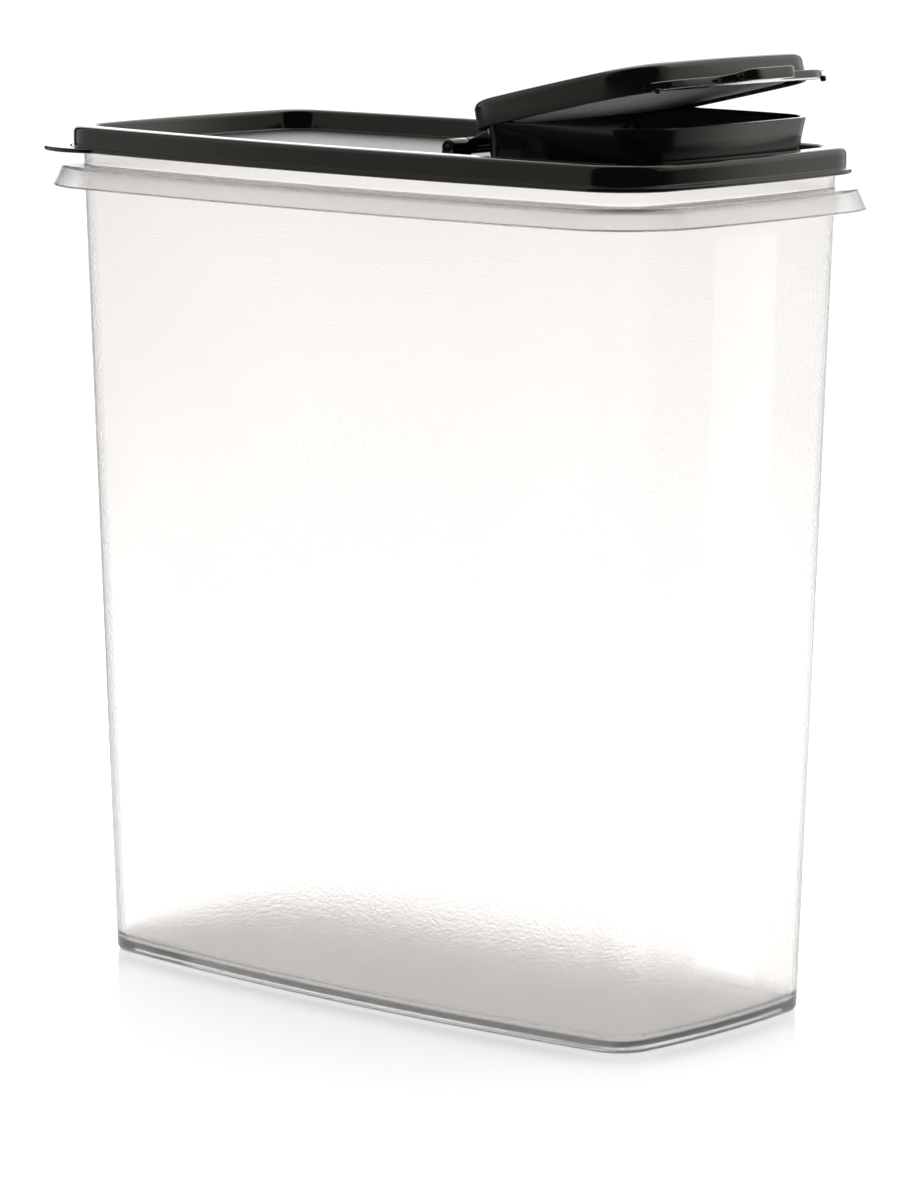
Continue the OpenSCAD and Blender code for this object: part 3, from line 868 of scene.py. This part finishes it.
def room_level(nodes, direction, right_side, right_edge, behind):
    """Brightness of the room by direction.

    Going round from the camera: a dark room, grey walls, bright side walls, a narrow black flag on
    each side and the white backdrop behind the object. right_side is how much of the grey wall the
    right shows, right_edge where that wall starts, and behind the level of the backdrop.
    """
    flat = nodes.vector("NORMALIZE", {0: nodes.vector("MULTIPLY", {0: direction, 1: (1, 1, 0)})})
    away = nodes.vector("DOT_PRODUCT", {0: flat, 1: AWAY}, "Value")
    across = nodes.vector("DOT_PRODUCT", {0: flat, 1: ACROSS}, "Value")
    on_right = nodes.stepped(across, -0.2, 0.2)
    on_left = nodes.math("SUBTRACT", 1.0, on_right)

    def walls(grey, bright, flag):
        start, end = flag
        lit = nodes.math("ADD", grey, bright)
        gone = nodes.math("SUBTRACT", 1.0, nodes.stepped(away, start, start + 0.03))
        return nodes.math("MULTIPLY_ADD", lit, gone, nodes.stepped(away, end, end + 0.04, behind))

    left_grey = nodes.stepped(away, -0.60, -0.48, GREY_WALL)
    left_bright = nodes.stepped(away, -0.1, 0.1, LEFT_WALL - GREY_WALL)
    left = walls(left_grey, left_bright, LEFT_FLAG)
    right_grey = nodes.stepped(away, right_edge, right_edge + 0.1, GREY_WALL)
    right_grey = nodes.math("MULTIPLY", right_grey, right_side)
    right_bright = nodes.stepped(away, -0.10, 0.2, RIGHT_WALL - GREY_WALL)
    right = walls(right_grey, right_bright, RIGHT_FLAG)
    both = nodes.math("MULTIPLY_ADD", left, on_left, nodes.math("MULTIPLY", right, on_right))
    return nodes.math("ADD", DARK_ROOM, both)


def floor_material():
    """A pale floor, which shiny surfaces see darken with the room around it."""
    material, nodes, shader, place = new_material("studio_floor")
    shader.inputs["Base Color"].default_value = (0.9, 0.9, 0.895, 1)
    shader.inputs["Roughness"].default_value = 0.16
    radius = nodes.vector("LENGTH", {0: place}, "Value")
    # The floor shines near the object only
    link(nodes, nodes.stepped(radius, 0.9, 0.3, 0.5), shader, "Specular IOR Level")
    ray = nodes.add("ShaderNodeLightPath").outputs
    direct = nodes.math("MAXIMUM", ray["Is Camera Ray"], ray["Is Transmission Ray"])
    seen = nodes.math("MULTIPLY", direct, FLOOR_GLOW)
    glow = nodes.add("ShaderNodeEmission", {"Color": (1, 1, 1, 1), "Strength": seen})
    lit = nodes.add("ShaderNodeAddShader", {0: shader.outputs[0], 1: glow.outputs[0]})
    near = nodes.stepped(radius, 0.55, 0.3)
    right_side = nodes.stepped(radius, 1.1, 0.7)
    towards = nodes.vector("NORMALIZE", {0: place})
    far = room_level(nodes, towards, right_side, RIGHT_EDGE_FLOOR, WHITE_FLOOR)
    level = nodes.mixed(near, far, 0.8)
    mirrored = nodes.add("ShaderNodeEmission", {"Color": (1, 1, 1, 1), "Strength": level})
    shiny = nodes.math("SUBTRACT", ray["Is Glossy Ray"], ray["Is Transmission Ray"], clamp=True)
    shown = {0: shiny, 1: lit.outputs[0], 2: mirrored.outputs[0]}
    both = nodes.add("ShaderNodeMixShader", shown)
    output = nodes.tree.nodes["Material Output"]
    nodes.tree.links.new(both.outputs[0], output.inputs["Surface"])
    return material


def studio():
    mesh = bpy.data.meshes.new("studio_floor")
    around = np.radians(np.linspace(0, 360, 96, False))
    rim = [(FLOOR_RADIUS * math.cos(t), FLOOR_RADIUS * math.sin(t), FLOOR_Z) for t in around]
    mesh.from_pydata(rim, [], [tuple(range(len(rim)))])
    mesh.materials.append(floor_material())
    ground = bpy.data.objects.new("studio_floor", mesh)
    bpy.context.scene.collection.objects.link(ground)

    world = bpy.data.worlds.new("studio")
    bpy.context.scene.world = world
    world.use_nodes = True
    nodes = Nodes(world.node_tree)
    ray = nodes.add("ShaderNodeLightPath").outputs
    aim = nodes.add("ShaderNodeTexCoord").outputs["Generated"]
    seen = nodes.math("MAXIMUM", ray["Is Camera Ray"], ray["Is Transmission Ray"])
    room = room_level(nodes, aim, 1.0, RIGHT_EDGE_ROOM, BACKDROP)
    soft = nodes.mixed(ray["Is Diffuse Ray"], room, SOFT_LIGHT)
    shine = world.node_tree.nodes["Background"]
    shine.inputs["Color"].default_value = (1, 1, 1, 1)
    world.node_tree.links.new(nodes.mixed(seen, soft, 1.0), shine.inputs["Strength"])

    lamp = bpy.data.lights.new("soft_top", "AREA")
    lamp.shape = "RECTANGLE"
    lamp.size, lamp.size_y = 1.6, 1.2
    lamp.energy = 8
    soft_top = bpy.data.objects.new("soft_top", lamp)
    where = Vector((-0.4, 0.5, 1.7))
    downwards = Vector((0, 0, 0.18)) - where
    facing = downwards.to_track_quat("-Z", "Y").to_matrix().to_4x4()
    soft_top.matrix_world = Matrix.Translation(where) @ facing
    bpy.context.scene.collection.objects.link(soft_top)


studio()
bpy.context.scene.view_settings.view_transform = "Standard"
